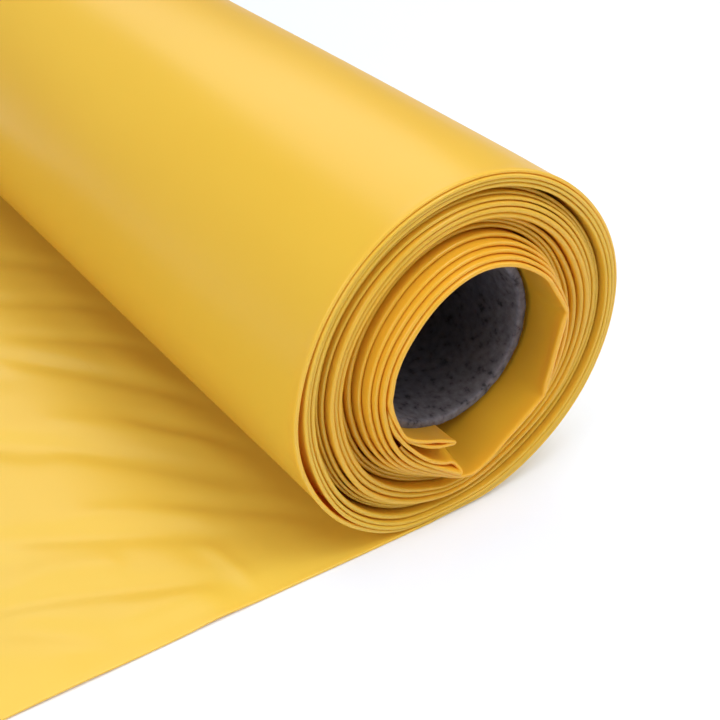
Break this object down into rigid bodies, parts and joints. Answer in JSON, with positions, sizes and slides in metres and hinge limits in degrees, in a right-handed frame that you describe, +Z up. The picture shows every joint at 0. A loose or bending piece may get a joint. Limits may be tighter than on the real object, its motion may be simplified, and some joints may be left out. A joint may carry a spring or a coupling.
{
  "type": "welding curtain film roll",
  "caption": "Loosely wound roll of folded translucent yellow welding curtain film on a cardboard tube, its loose end flat on the floor and able to curl back up round the roll.",
  "frame": {"origin": "on the floor, straight below the winding's centre, halfway along the roll", "axes": "+Z up, +Y along the roll away from the film's folded edge, loose end of the film towards -X"},
  "size_m": [0.5449, 0.722, 0.16],
  "materials": {
    "film": "soft gloss, translucent",
    "core_liner": "matt, mottled",
    "core_board": "matt, cut edge",
    "core_wrap": "matt"
  },
  "bodies": {
    "roll": {"film_outer_turn": "film", "film_turns_outer": "film", "film_turns_second": "film", "film_turns_recessed": "film", "film_turns_inner": "film", "film_lead_fold": "film"},
    "core": {"core_liner_ply": "core_liner", "core_body_ply": "core_board", "core_outer_ply": "core_wrap"},
    "tail_01": {"tail_panel_01": "film"},
    "tail_02": {"tail_panel_02": "film"},
    "tail_03": {"tail_panel_03": "film"},
    "tail_04": {"tail_panel_04": "film"},
    "tail_05": {"tail_panel_05": "film"},
    "tail_06": {"tail_panel_06": "film"},
    "tail_07": {"tail_panel_07": "film"},
    "tail_08": {"tail_panel_08": "film"},
    "tail_09": {"tail_panel_09": "film"},
    "tail_10": {"tail_panel_10": "film"},
    "tail_11": {"tail_panel_11": "film"},
    "tail_12": {"tail_panel_12": "film"}
  },
  "joints": [
    {"name": "core_slide", "type": "slide", "parent": "roll", "child": "core", "axis": [0, 1, 0], "range_m": [0, 0.6]},
    {"name": "tail_curl_01", "type": "hinge", "parent": "roll", "child": "tail_01", "pos_m": [-0.033, 0, 0.0017], "axis": [0, 1, 0], "range_deg": [0, 27]},
    {"name": "tail_curl_02", "type": "hinge", "parent": "tail_01", "child": "tail_02", "pos_m": [-0.069, 0, 0.0017], "axis": [0, 1, 0], "range_deg": [0, 24]},
    {"name": "tail_curl_03", "type": "hinge", "parent": "tail_02", "child": "tail_03", "pos_m": [-0.105, 0, 0.0017], "axis": [0, 1, 0], "range_deg": [0, 24]},
    {"name": "tail_curl_04", "type": "hinge", "parent": "tail_03", "child": "tail_04", "pos_m": [-0.141, 0, 0.0017], "axis": [0, 1, 0], "range_deg": [0, 24]},
    {"name": "tail_curl_05", "type": "hinge", "parent": "tail_04", "child": "tail_05", "pos_m": [-0.177, 0, 0.0017], "axis": [0, 1, 0], "range_deg": [0, 24]},
    {"name": "tail_curl_06", "type": "hinge", "parent": "tail_05", "child": "tail_06", "pos_m": [-0.213, 0, 0.0017], "axis": [0, 1, 0], "range_deg": [0, 24]},
    {"name": "tail_curl_07", "type": "hinge", "parent": "tail_06", "child": "tail_07", "pos_m": [-0.249, 0, 0.0017], "axis": [0, 1, 0], "range_deg": [0, 24]},
    {"name": "tail_curl_08", "type": "hinge", "parent": "tail_07", "child": "tail_08", "pos_m": [-0.285, 0, 0.0017], "axis": [0, 1, 0], "range_deg": [0, 21]},
    {"name": "tail_curl_09", "type": "hinge", "parent": "tail_08", "child": "tail_09", "pos_m": [-0.321, 0, 0.0017], "axis": [0, 1, 0], "range_deg": [0, 21]},
    {"name": "tail_curl_10", "type": "hinge", "parent": "tail_09", "child": "tail_10", "pos_m": [-0.357, 0, 0.0017], "axis": [0, 1, 0], "range_deg": [0, 21]},
    {"name": "tail_curl_11", "type": "hinge", "parent": "tail_10", "child": "tail_11", "pos_m": [-0.393, 0, 0.0017], "axis": [0, 1, 0], "range_deg": [0, 21]},
    {"name": "tail_curl_12", "type": "hinge", "parent": "tail_11", "child": "tail_12", "pos_m": [-0.429, 0, 0.0017], "axis": [0, 1, 0], "range_deg": [0, 21]}
  ]
}
